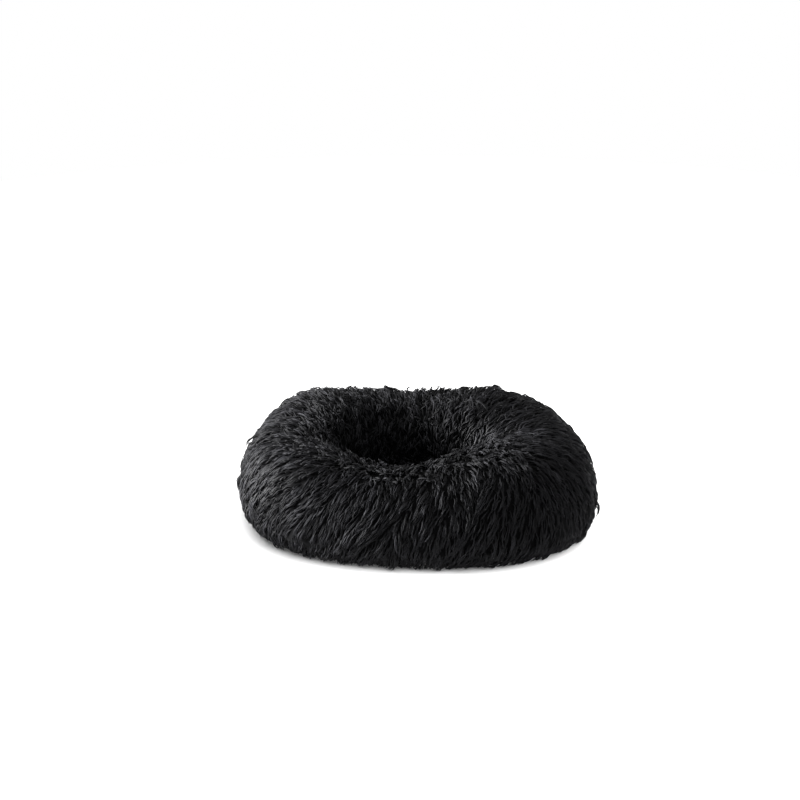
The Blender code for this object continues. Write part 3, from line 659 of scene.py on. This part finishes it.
def lock_mesh(name, path, up, half_w, shade, material):
    """Closed tapering hairs. path is (hair, step, 3) and up the way each step lies off the skin."""
    count, steps = path.shape[:2]
    along = np.gradient(path, axis=1)
    along /= np.linalg.norm(along, axis=2, keepdims=True) + TINY
    side = np.cross(along, up)
    side /= np.linalg.norm(side, axis=2, keepdims=True) + TINY
    lift = np.cross(side, along)
    share = np.linspace(0, 1, steps)
    taper = np.minimum(HAIR_ROOT_WIDTH + HAIR_WIDENING * share, 1) * np.sqrt(1 - share ** 3)
    rings = steps - 1
    verts = np.empty((count, rings * SIDES + 1, 3))
    for k in range(rings):
        half = (half_w * taper[k])[:, None]
        for n in range(SIDES):
            angle = FULL_TURN * (n + FIRST_SIDE) / SIDES
            verts[:, k * SIDES + n] = (path[:, k] + side[:, k] * half * math.cos(angle)
                                       + lift[:, k] * half * HAIR_FLAT_SHARE * math.sin(angle))
    verts[:, -1] = path[:, -1]
    faces = []
    for k in range(rings - 1):
        for n in range(SIDES):
            m = (n + 1) % SIDES
            faces.append((k * SIDES + n, k * SIDES + m, (k + 1) * SIDES + m, (k + 1) * SIDES + n))
    tip, last = rings * SIDES, (rings - 1) * SIDES
    faces += [(last + n, last + (n + 1) % SIDES, tip) for n in range(SIDES)]
    faces.append(tuple(reversed(range(SIDES))))
    flat = np.array([v for face in faces for v in face])
    sizes = np.array([len(face) for face in faces])
    starts = np.concatenate([[0], np.cumsum(sizes)[:-1]])
    each = np.arange(count)[:, None]
    mesh = bpy.data.meshes.new(name)
    mesh.vertices.add(count * (tip + 1))
    mesh.loops.add(count * len(flat))
    mesh.polygons.add(count * len(faces))
    mesh.vertices.foreach_set("co", verts.astype(np.float32).ravel())
    mesh.loops.foreach_set("vertex_index", (flat + (tip + 1) * each).astype(np.int32).ravel())
    mesh.polygons.foreach_set("loop_start", (starts + len(flat) * each).astype(np.int32).ravel())
    mesh.update(calc_edges=True)
    mesh.shade_smooth()
    along_share = np.minimum(flat // SIDES, rings) / rings
    across = (flat % SIDES) * SIDE_SHADE_STEP
    coords = np.stack([np.tile(along_share, count), (shade[:, None] + across).ravel()], -1)
    layer = mesh.uv_layers.new(name="OFBake")
    layer.data.foreach_set("uv", coords.astype(np.float32).ravel())
    mesh.materials.append(material)
    item = bpy.data.objects.new(name, mesh)
    bpy.context.scene.collection.objects.link(item)
    return item


def walk_ring(face, turn, tilt, heading, length, heights, sway):
    """Lays each string over the face from its root, at its heading off straight down the tube."""
    size, start, waves = sway
    path = np.empty((len(turn), STRING_STEPS, 3))
    up = np.empty_like(path)
    step = length / (STRING_STEPS - 1)
    for k in range(STRING_STEPS):
        share = k / (STRING_STEPS - 1)
        path[:, k], up[:, k] = face.point(turn, tilt, heights[:, k])
        angle = heading + size * np.sin(start + waves * share)
        reach = face.distance(turn, tilt)
        radius = TUBE_MID_R + reach * np.cos(tilt)
        tilt = tilt - np.cos(angle) * step / reach
        turn = turn + np.sin(angle) * step / radius
    return path, up


def string_heights(lie, lift):
    """From the root in the backing up to where the string lies, and on to its lifted tip."""
    share = np.linspace(0, 1, STRING_STEPS)
    rise = np.minimum(share / RISE_SHARE, 1) ** RISE_POWER
    return -ROOT_DEPTH + (lie + ROOT_DEPTH)[:, None] * rise + lift[:, None] * share ** LIFT_POWER


def gather(rng, path, up, locks):
    """Draws neighbouring strings together into locks towards their tips, some locks prouder."""
    strings, strength, prouder = locks
    leaders = len(path) // strings
    tree = KDTree(leaders)
    for n in range(leaders):
        tree.insert(path[n, 1], n)
    tree.balance()
    lock = np.array([tree.find(place)[1] for place in path[:, 1]])
    share = np.linspace(0, 1, path.shape[1])[None, :, None]
    pull = strength * rng.uniform(*PULL_RANGE, len(path))[:, None, None] * share ** PULL_POWER
    height = rng.normal(0, 1, leaders) * prouder
    tuft = rng.random(leaders) < PROUD_SHARE
    height[tuft] += rng.uniform(*PROUD_RANGE, tuft.sum()) * prouder
    height = height[lock][:, None, None]
    path = path + (path[lock] - path) * pull + up * height * np.minimum(share / MEET_SHARE, 1)
    return path, lock


def over_zip(path):
    """Which points of the paths have the zip's slider and pull passing under them."""
    low, high = np.radians(ZIP_CLEAR_DEG)
    turn = np.arctan2(path[..., 1], path[..., 0])
    return (turn > low) & (turn < high) & (np.hypot(path[..., 0], path[..., 1]) < ZIP_CLEAR_R)


def length_to_floor(path):
    """The share of each string's length that is used before it meets the floor, or the zip's room."""
    low = path[..., 2] < np.where(over_zip(path), ZIP_CLEAR_Z + TIP_ROOM, TIP_ROOM)
    low[:, 0] = False
    last = path.shape[1] - 1
    first = np.where(low.any(axis=1), low.argmax(axis=1), last)
    return np.maximum(first, 1) / last


def hairs(rng, path, up, spread, shade):
    """Splits each string into three or four hairs that run together soon after the root."""
    own = np.repeat(np.arange(len(path)), HAIRS_PER_STRING + (rng.random(len(path)) < FOURTH_HAIR_SHARE))
    count, steps = len(own), path.shape[1]
    share = np.linspace(0, 1, steps)
    end = np.minimum(rng.uniform(*END_RANGE, count),
                     length_to_floor(path)[own] * rng.uniform(*TRIM_RANGE, count))
    place = end[:, None] * share * (steps - 1)
    low = np.minimum(place.astype(int), steps - 2)
    part = (place - low)[..., None]
    rows = own[:, None]
    line = path[rows, low] * (1 - part) + path[rows, low + 1] * part
    out = up[rows, low] * (1 - part) + up[rows, low + 1] * part
    along = np.gradient(line, axis=1)
    side = np.cross(along, out)
    side /= np.linalg.norm(side, axis=2, keepdims=True) + TINY
    together = (1 - TOGETHER * np.minimum(share / MEET_SHARE, 1))[None, :, None]
    fray = (np.maximum(share - FRAY_FROM, 0) / (1 - FRAY_FROM))[None, :, None]
    across = rng.uniform(-1, 1, count)[:, None, None]
    above = rng.uniform(-1, 1, count)[:, None, None]
    splay = rng.normal(0, 1, count)[:, None, None]
    line = (line + side * (across * spread * together + splay * FRAY_WIDTH * fray)
            + out * above * LOFT * np.minimum(share / MEET_SHARE, 1)[None, :, None])
    half_w = HAIR_HALF_W * rng.uniform(*WIDTH_RANGE, count)
    tone = np.clip(shade[own] + rng.normal(0, HAIR_TONE_SPREAD, count), *HAIR_TONE_LIMITS)
    return line, out, half_w, tone, own


def wave_field(rng, counts, size):
    """Waves round the ring and over it. Their sum turns, sways or shades the pile a little."""
    return [(n, rng.uniform(-WAVE_SKEW, WAVE_SKEW) * n, size, rng.uniform(0, FULL_TURN)) for n in counts]


def field_value(field, turn, tilt):
    return sum(size * np.cos(n * turn + m * tilt + start) for n, m, size, start in field)


def lean(turn):
    turns = np.radians(LEAN_TURNS_DEG)
    return np.interp(turn, turns, np.radians(LEAN_DEG), period=FULL_TURN)


def outer_share(tilt):
    """1 over the outer side, easing to 0 at the crest."""
    return np.clip(np.cos(tilt) * OUTER_GAIN, 0, 1)


def fuller(turn, tilt):
    """How much higher the coat stands than elsewhere."""
    total = 0
    for at_turn, at_tilt, wide_turn, wide_tilt, height in FULLER_DEG:
        off_turn = (np.degrees(turn) - at_turn + 180) % 360 - 180
        off_tilt = np.degrees(tilt) - at_tilt
        total = total + height * np.exp(-(off_turn / wide_turn) ** 2 - (off_tilt / wide_tilt) ** 2)
    return total


def combed(turn):
    """1 where the inner side's pile lies long and straight, 0 where it is short and curly."""
    off = (np.degrees(turn) - COMBED_TURN_DEG + 180) % 360 - 180
    return np.exp(-(off / COMBED_WIDE_DEG) ** 2)


class Coat:
    """The ring's pile.

    A long coat, curly tufts on the inner crest, a skirt at the floor and over the zip, and an
    undercoat where the rest parts.
    """

    def __init__(self, cover_face):
        self.rng = np.random.default_rng(RANDOM_SEED)
        self.cover_face = cover_face
        self.face = cover_face.hanging()
        self.lie_waves = wave_field(self.rng, *LIE_WAVES)
        self.sway_waves = wave_field(self.rng, *SWAY_WAVES)
        self.tone_waves = wave_field(self.rng, *TONE_WAVES)
        self.parts = []

    def grow(self, turn, tilt, heading, length, lie, lift, bend, tone, locks):
        """Lays strings from their roots, gathers them into locks and splits them into hairs."""
        rng, count = self.rng, len(turn)
        sway = (bend * rng.uniform(*BEND_RANGE, count),
                field_value(self.sway_waves, turn, tilt) + rng.normal(0, SWAY_START_SPREAD, count),
                length / SWAY_L * FULL_TURN * rng.uniform(*SWAY_L_RANGE, count))
        heights = string_heights(lie, lift)
        heights[:, 0] -= self.face.distance(turn, tilt) - self.cover_face.distance(turn, tilt)
        path, up = walk_ring(self.face, turn, tilt, heading, length, heights, sway)
        path, lock = gather(rng, path, up, locks)
        tones = rng.normal(tone, LOCK_TONE_SPREAD, count) + rng.normal(0, LOCK_TONE_SPREAD, count)[lock]
        tones = np.clip(tones + field_value(self.tone_waves, turn, tilt), *LOCK_TONE_LIMITS)
        path, up, half_w, tones, own = hairs(rng, path, up, STRING_SPREAD, tones)
        keep_clear(path)
        self.parts.append((turn[own], path, up, half_w, tones))

    def long_coat(self):
        rng, face = self.rng, self.face
        turn, tilt = face.spread(STRING_COUNT)
        turn_scatter, tilt_scatter = ROOT_SCATTER
        turn = turn + rng.normal(0, turn_scatter, STRING_COUNT)
        tilt = np.clip(tilt + rng.normal(0, tilt_scatter, STRING_COUNT), face.low, face.high)
        root_z = TUBE_MID_Z + face.distance(turn, tilt) * np.sin(tilt)
        turn, tilt = turn[root_z > LOWEST_ROOT_Z], tilt[root_z > LOWEST_ROOT_Z]
        count = len(turn)
        straight = combed(turn)
        inner = np.clip((tilt - INNER_TILT) / INNER_TILT_EASE, 0, 1)
        spread = HEADING_SPREAD + INNER_HEADING_SPREAD * inner * (1 - COMBED_CALM * straight)
        heading = (lean(turn) * outer_share(tilt) + field_value(self.lie_waves, turn, tilt)
                   + rng.normal(0, 1, count) * spread)
        shorter = 1 - INNER_SHORTER * inner * (1 - straight)
        length = STRING_L * rng.uniform(*STRING_L_RANGE, count) * shorter
        inner *= 1 - COMBED_FLAT * straight
        lie = LIE + rng.normal(0, LIE_SPREAD, count) + INNER_LIE * inner + fuller(turn, tilt)
        lift = rng.normal(*LIFT, count) + INNER_LIFT * inner
        stray = rng.random(count) < STRAY_SHARE
        lift[stray] += rng.uniform(*STRAY_LIFT_RANGE, stray.sum())
        self.grow(turn, tilt, heading, length, lie, lift, bend=0.42, tone=0.45, locks=COAT_LOCKS)

    def crest_tufts(self):
        rng, count = self.rng, TUFT_COUNT
        turn, tilt = rng.uniform(0, FULL_TURN, count), rng.uniform(*TUFT_TILT_RANGE, count)
        curly = rng.random(count) > combed(turn)
        turn, tilt, count = turn[curly], tilt[curly], curly.sum()
        heading = rng.normal(0, TUFT_HEADING_SPREAD, count)
        length = TUFT_L * rng.uniform(*TUFT_L_RANGE, count)
        lie = rng.normal(*TUFT_LIE, count)
        lift = rng.uniform(*TUFT_LIFT_RANGE, count)
        self.grow(turn, tilt, heading, length, lie, lift, bend=0.9, tone=0.32, locks=TUFT_LOCKS)

    def floor_skirt(self):
        rng, count, face = self.rng, SKIRT_COUNT, self.face
        turn = rng.uniform(0, FULL_TURN, count)
        raised = SKIRT_RAISE_OVER_ZIP * np.array([zip_share(t) for t in turn])
        root_z = rng.uniform(*SKIRT_ROOT_Z_RANGE, count) + raised
        tilt = np.full(count, math.radians(SKIRT_FIRST_TILT_DEG))
        for _ in range(SKIRT_PASSES):
            tilt = np.arcsin(np.clip((root_z - TUBE_MID_Z) / face.distance(turn, tilt), -1, 1))
        heading = lean(turn) * SKIRT_LEAN_SHARE + rng.normal(0, SKIRT_HEADING_SPREAD, count)
        length = SKIRT_L * rng.uniform(*SKIRT_L_RANGE, count)
        lie = SKIRT_LIE + rng.normal(0, LIE_SPREAD, count)
        self.grow(turn, tilt, heading, length, lie, np.zeros(count), bend=0.2, tone=0.3, locks=SKIRT_LOCKS)

    def undercoat(self):
        """Shorter strings where the coat parts so far that its backing would show."""
        rng, face = self.rng, self.face
        lines = np.concatenate([part[1] for part in self.parts])
        known = np.concatenate([lines, (lines[:, 1:] + lines[:, :-1]) / 2], axis=1).reshape(-1, 3)
        tree = KDTree(len(known))
        for n, place in enumerate(known):
            tree.insert(place, n)
        tree.balance()
        turn, tilt = face.spread(UNDERCOAT_TRIES)
        places, _ = face.point(turn, tilt, np.full(len(turn), LIE))
        low, raised = UNDERCOAT_ROOT_Z
        lowest = low + (raised - low) * np.array([zip_share(t) for t in turn])
        bare = np.array([tree.find(place)[2] > UNDERCOAT_GAP for place in places])
        bare &= places[:, 2] > lowest
        turn, tilt = turn[bare], tilt[bare]
        count = len(turn)
        heading = lean(turn) * outer_share(tilt) + rng.normal(0, UNDERCOAT_HEADING_SPREAD, count)
        length = UNDERCOAT_L * rng.uniform(*UNDERCOAT_L_RANGE, count)
        lie = UNDERCOAT_LIE + rng.normal(0, UNDERCOAT_LIE_SPREAD, count)
        lift = rng.uniform(*UNDERCOAT_LIFT_RANGE, count)
        self.grow(turn, tilt, heading, length, lie, lift, bend=0.35, tone=0.35, locks=UNDERCOAT_LOCKS)

    def pieces(self, material):
        """The hairs by the part of the ring that they grow from."""
        turn, path, up, half_w, tone = (np.concatenate(column) for column in zip(*self.parts))
        sector = (turn % FULL_TURN / math.pi * SECTORS_PER_HALF).astype(int)
        made = []
        for n in range(2 * SECTORS_PER_HALF):
            some = sector == n
            half = "back" if n < SECTORS_PER_HALF else "front"
            made.append((half, lock_mesh(f"pile_{half}_{n % SECTORS_PER_HALF + 1}", path[some], up[some],
                                         half_w[some], tone[some], material)))
        return made


def ring_pile(cover_face, material):
    coat = Coat(cover_face)
    coat.long_coat()
    coat.crest_tufts()
    coat.floor_skirt()
    coat.undercoat()
    return coat.pieces(material)


def keep_clear(path):
    """Keeps hairs above the floor, and out of the room that the zip's slider and pull need."""
    path[..., 2] = np.maximum(path[..., 2], FLOOR_ROOM)
    radius = np.hypot(path[..., 0], path[..., 1])
    out = np.where(over_zip(path) & (path[..., 2] < ZIP_CLEAR_Z), ZIP_CLEAR_R / radius, 1.0)
    path[..., 0] *= out
    path[..., 1] *= out


def nest_profile():
    """The nest panel's height at radii from its middle to its rim."""
    tree = solid_tree(("nest_panel",))
    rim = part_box("nest_panel")[1].x
    radii = np.linspace(*NEST_PROBE_SHARES, NEST_RINGS) * rim
    down = Vector((0, 0, -1))
    drop = [tree.ray_cast(Vector((r, r * NEST_PROBE_OFF_SHARE, NEST_PROBE_Z)), down)[3] for r in radii]
    return radii, NEST_PROBE_Z - np.array(drop)


def nest_pile(material):
    rng = np.random.default_rng(RANDOM_SEED + 1)
    radii, heights = nest_profile()
    count = NEST_STRING_COUNT
    first, second = even_pairs(count)
    radius, turn = radii[-1] * np.sqrt(first) * NEST_ROOT_SHARE, FULL_TURN * second
    x, y = radius * np.cos(turn), radius * np.sin(turn)
    size, lobes, twist = NEST_SWIRL_WAVE
    swirl = NEST_SWIRL + size * np.sin(lobes * turn + twist * radius)
    heading = turn + swirl + rng.normal(0, NEST_HEADING_SPREAD, count)
    length = NEST_STRING_L * rng.uniform(*NEST_L_RANGE, count)
    lie = LIE + rng.normal(*NEST_LIE, count)
    lift = rng.normal(*NEST_LIFT, count)
    level = string_heights(lie, lift)
    sway_start, sway_size = rng.uniform(0, FULL_TURN, count), rng.uniform(*NEST_SWAY_RANGE, count)
    step = length / (STRING_STEPS - 1)
    path = np.empty((count, STRING_STEPS, 3))
    for k in range(STRING_STEPS):
        far = np.hypot(x, y)
        path[:, k] = np.stack([x, y, np.interp(far, radii, heights) + level[:, k]], -1)
        angle = heading + sway_size * np.sin(sway_start + k)
        x, y = x + np.cos(angle) * step, y + np.sin(angle) * step
        back = np.minimum(radii[-1] / np.maximum(np.hypot(x, y), TINY), 1)
        x, y = x * back, y * back
    up = np.zeros_like(path)
    up[..., 2] = 1
    path, up, half_w, tone, _ = hairs(rng, path, up, STRING_SPREAD, rng.normal(*NEST_TONE, count))
    return lock_mesh("pile_nest", path, up, half_w, tone, material)


# Backing cloth

def copy_of(node, name):
    """A welded copy of a CAD node's mesh, to be worked on as a piece of its own."""
    item = bpy.data.objects.new(name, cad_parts[node].data.copy())
    bpy.context.scene.collection.objects.link(item)
    item.data.materials.clear()
    select_only(item)
    bpy.ops.mesh.customdata_custom_splitnormals_clear()
    bpy.ops.object.mode_set(mode="EDIT")
    bpy.ops.mesh.select_all(action="SELECT")
    bpy.ops.mesh.remove_doubles(threshold=WELD)
    bpy.ops.mesh.tris_convert_to_quads()
    bpy.ops.mesh.normals_make_consistent(inside=False)
    bpy.ops.object.mode_set(mode="OBJECT")
    return item


def positions(item):
    flat = np.empty(len(item.data.vertices) * 3)
    item.data.vertices.foreach_get("co", flat)
    return flat.reshape(-1, 3)


def place_all(item, points):
    item.data.vertices.foreach_set("co", points.astype(np.float32).ravel())
    item.data.update()


def subdivide(item, levels):
    select_only(item)
    modifier = item.modifiers.new("rounding", "SUBSURF")
    modifier.levels = modifier.render_levels = levels
    bpy.ops.object.modifier_apply(modifier=modifier.name)


def swell(item, free_share):
    """Cloth under pressure: the free side puckers and swells, and never moves past the cap."""
    rest = positions(item)
    pinned = item.vertex_groups.new(name="sewn")
    for n, share in enumerate(free_share):
        pinned.add([n], 1.0 - share, "REPLACE")
    cloth = item.modifiers.new("cloth", "CLOTH")
    cloth.settings.vertex_group_mass = pinned.name
    cloth.settings.use_pressure = True
    cloth.settings.uniform_pressure_force = CLOTH_PRESSURE
    cloth.settings.effector_weights.gravity = 0
    cloth.settings.shrink_min = CLOTH_SHRINK
    cloth.point_cache.frame_start, cloth.point_cache.frame_end = 1, CLOTH_FRAMES
    for number in range(1, CLOTH_FRAMES + 1):
        bpy.context.scene.frame_set(number)
    select_only(item)
    bpy.ops.object.modifier_apply(modifier=cloth.name)
    moved = positions(item) - rest
    far = np.linalg.norm(moved, axis=1, keepdims=True)
    place_all(item, rest + moved * np.minimum(CLOTH_CAP / np.maximum(far, TINY), 1))
    bpy.context.scene.frame_set(1)


def ring_depth(face, points):
    """Each point's depth under the cover's face, and the spoke that it lies on."""
    turn = np.arctan2(points[:, 1], points[:, 0])
    away = np.hypot(points[:, 0], points[:, 1]) - TUBE_MID_R
    up = points[:, 2] - TUBE_MID_Z
    tilt = np.arctan2(up, away)
    tilt = np.where(tilt < face.low, tilt + FULL_TURN, tilt)
    return face.distance(turn, tilt) - np.hypot(away, up), spokes(turn, tilt)


def hem_height(points):
    """The height of the cover's outer hem at each point's turn, and which points lie outside the tube."""
    turn = np.arctan2(points[:, 1], points[:, 0])
    which = (turn / FULL_TURN * HEM_BINS % HEM_BINS).astype(int)
    outside = np.hypot(points[:, 0], points[:, 1]) > TUBE_MID_R
    hem = np.full(HEM_BINS, np.inf)
    np.minimum.at(hem, which[outside], points[outside, 2])
    known = np.isfinite(hem)
    middles = (np.arange(HEM_BINS) + 0.5) * FULL_TURN / HEM_BINS
    return np.interp(turn, middles[known], hem[known], period=FULL_TURN), outside


def sew_past_zip(points):
    """Brings the hem down to the base past the zip's ends, where it still rises in the solid."""
    off = np.abs(np.degrees(np.arctan2(points[:, 1], points[:, 0])) - ZIP_MIDDLE_DEG) - ZIP_HALF_DEG
    wall_from, wall_to = HEM_WALL_R
    radius = np.hypot(points[:, 0], points[:, 1])
    near = np.clip((wall_to - radius) / (wall_to - wall_from), 0, 1)
    hem, outside = hem_height(points)
    drop = (hem - HEM_Z) * np.clip(off / ZIP_SHUT_DEG, 0, 1) * near
    low = outside & (points[:, 2] < HEM_TOP_Z) & (points[:, 2] > HEM_Z)
    points[low, 2] = np.maximum(points[low, 2] - drop[low], HEM_Z)


def ring_backing(half, face, material):
    """One half of the ring's cover without its pile: the knitted cloth, stuffed from inside."""
    item = copy_of(f"cover_{half}", f"backing_{half}")
    points = positions(item)
    under, spoke = ring_depth(face, points)
    hem, outside = hem_height(points)
    free = np.where(outside, np.clip((points[:, 2] - hem) / HEM_HOLD, 0, 1), 1)
    outer = np.clip(1 - under / BACKING_EASE, 0, 1) * free
    place_all(item, points - spoke * (outer * BACKING_DEPTH)[:, None])
    subdivide(item, 2)
    points = positions(item)
    sew_past_zip(points)
    place_all(item, points)
    under, _ = ring_depth(face, points)
    edge = np.clip(np.abs(points[:, 1]) / FREE_EDGE, 0, 1)
    swell(item, np.clip(FREE_GAIN - (under - BACKING_DEPTH) / FREE_EASE, 0, 1) * edge)
    item.data.shade_smooth()
    item.data.materials.append(material)
    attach(item, "bed")
    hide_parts(f"cover_{half}")
    return item


def nest_backing(material):
    """The nest's panel without its pile, crowned over its cushion."""
    item = copy_of("nest_panel", "backing_nest")
    low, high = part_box("nest_panel")
    points = positions(item)
    far = np.hypot(points[:, 0], points[:, 1])
    radii, heights = nest_profile()
    outer = np.clip(1 - (np.interp(far, radii, heights) - points[:, 2]) / NEST_SIDE_EASE, 0, 1)
    points[:, 2] -= outer * BACKING_DEPTH * np.clip((high.x - far) / NEST_EDGE_HOLD, 0, 1)
    place_all(item, points)
    subdivide(item, 1)
    swell(item, np.clip((positions(item)[:, 2] - low.z) / NEST_EDGE_HOLD, 0, 1))
    item.data.shade_smooth()
    item.data.materials.append(material)
    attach(item, "bed")
    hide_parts("nest_panel")
    return item


# Inner bags, their filling and the zip

def ripple(waves, first, second):
    """0 to 1, from waves over two coordinates."""
    total = sum(np.cos(n * first + m * second + start) for n, m, start in waves)
    return 0.5 + 0.5 * total / len(waves)


def stuffed(node, name, material, depths, waves, face=None):
    """A bag or its filling. Its skin is drawn in by ripples between two depths."""
    item = copy_of(node, name)
    subdivide(item, 1)
    points = positions(item)
    turn = np.arctan2(points[:, 1], points[:, 0])
    low, high = depths
    if face:
        _, spoke = ring_depth(face, points)
        tilt = np.arctan2(spoke[:, 2], spoke[:, 0] * np.cos(turn) + spoke[:, 1] * np.sin(turn))
        drawn = low + (high - low) * ripple(waves, turn, tilt)
        points -= spoke * drawn[:, None]
    else:
        far = np.hypot(points[:, 0], points[:, 1])
        drawn = low + (high - low) * ripple(waves, turn, far / TUBE_MID_R)
        middle = (points[:, 2].min() + points[:, 2].max()) / 2
        points[:, 2] -= drawn * np.clip((points[:, 2] - middle) / CUSHION_EASE, -1, 1)
        inwards = 1 - drawn / far.max() * np.clip(far / far.max(), 0, 1)
        points[:, :2] *= inwards[:, None]
    place_all(item, points)
    item.data.shade_smooth()
    item.data.materials.append(material)
    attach(item, "bed")
    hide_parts(node)


def dress(node, material, bevel=0.0):
    """Gives a CAD node its finish and, where asked, edges that are slightly broken."""
    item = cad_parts[node]
    item.data.materials.clear()
    item.data.materials.append(material)
    if bevel:
        weld = item.modifiers.new("weld", "WELD")
        weld.merge_threshold = WELD / 10
        edge = item.modifiers.new("broken_edges", "BEVEL")
        edge.width = bevel
        edge.segments = 2
        edge.limit_method = "ANGLE"
        edge.angle_limit = math.radians(BEVEL_ANGLE_DEG)


def main():
    for item in bpy.context.selected_objects:
        item.select_set(False)
    bpy.context.scene.view_settings.view_transform = "Standard"
    camera()
    studio()
    fibre = long_pile_fibre()
    backing = pile_backing()
    face = RingFace()
    backings = {half: ring_backing(half, face, backing) for half in ("front", "back")}
    for half, item in ring_pile(face, fibre):
        item.parent = backings[half]
    nest = nest_backing(backing)
    pile = nest_pile(fibre)
    pile.parent = nest

    bag, filling = bonded_cloth(), loose_fibre()
    wrinkled = (0.0, WRINKLE_DEPTH)
    stuffed("bolster_bag", "ring_bag", bag, wrinkled, WRINKLE_WAVES, face)
    stuffed("bolster_filling", "ring_filling", filling, TUFT_DEPTH, TUFT_WAVES, face)
    stuffed("cushion_bag", "nest_bag", bag, wrinkled, WRINKLE_WAVES)
    stuffed("cushion_filling", "nest_filling", filling, TUFT_DEPTH, TUFT_WAVES)
    dress("base_panel", coated_oxford())
    chain, enamel = zip_material(), black_enamel()
    for node in ("zip_chain_upper", "zip_chain_lower"):
        dress(node, chain)
    for node in ("zip_slider", "zip_pull", "zip_bottom_stop", "zip_top_stop_upper", "zip_top_stop_lower"):
        dress(node, enamel, ENAMEL_BEVEL)


main()
